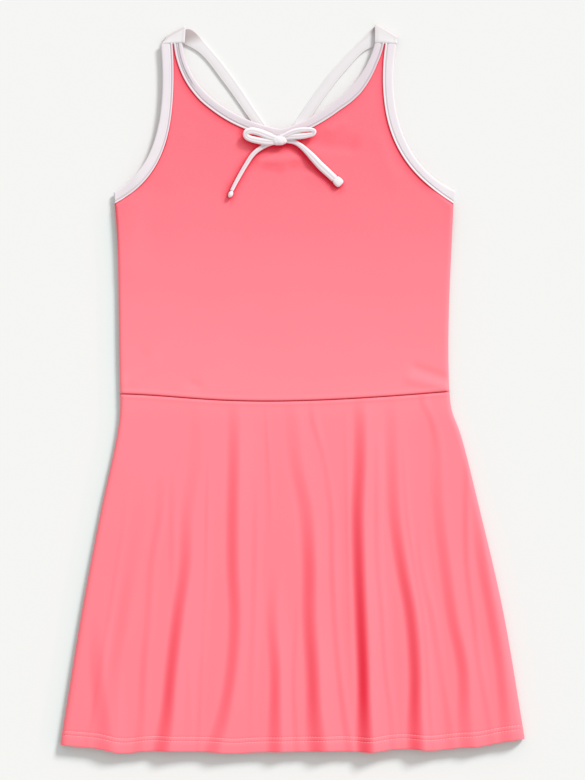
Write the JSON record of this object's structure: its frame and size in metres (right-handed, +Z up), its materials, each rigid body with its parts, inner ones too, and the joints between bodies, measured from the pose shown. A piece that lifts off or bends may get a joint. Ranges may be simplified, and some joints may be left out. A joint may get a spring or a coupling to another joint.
{
  "type": "sleeveless athletic dress",
  "caption": "Sleeveless knit athletic dress laid flat: fitted bodice, flared skirt with soft folds, white bindings, crossed back straps and a small neckline bow.",
  "frame": {"origin": "centre of the laid dress on the surface it lies on", "axes": "+Z up off the surface, +Y from the hem to the shoulders, +X to the right of the front as it is seen"},
  "size_m": [0.4496, 0.7052, 0.0148],
  "materials": {
    "coral_knit": "matt brushed stretch knit",
    "white_binding": "matt smooth stretch knit"
  },
  "bodies": {
    "root": {"front_bodice": "coral_knit", "front_skirt": "coral_knit", "back_bodice": "coral_knit", "back_skirt": "coral_knit", "neck_binding": "white_binding", "armhole_binding_left": "white_binding", "armhole_binding_right": "white_binding", "back_binding": "white_binding", "strap_left": "white_binding", "strap_right": "white_binding", "bow_knot": "white_binding", "bow_loop_left": "white_binding", "bow_loop_right": "white_binding", "bow_tail_left": "white_binding", "bow_tail_right": "white_binding", "bow_end_left": "white_binding", "bow_end_right": "white_binding"}
  },
  "joints": []
}
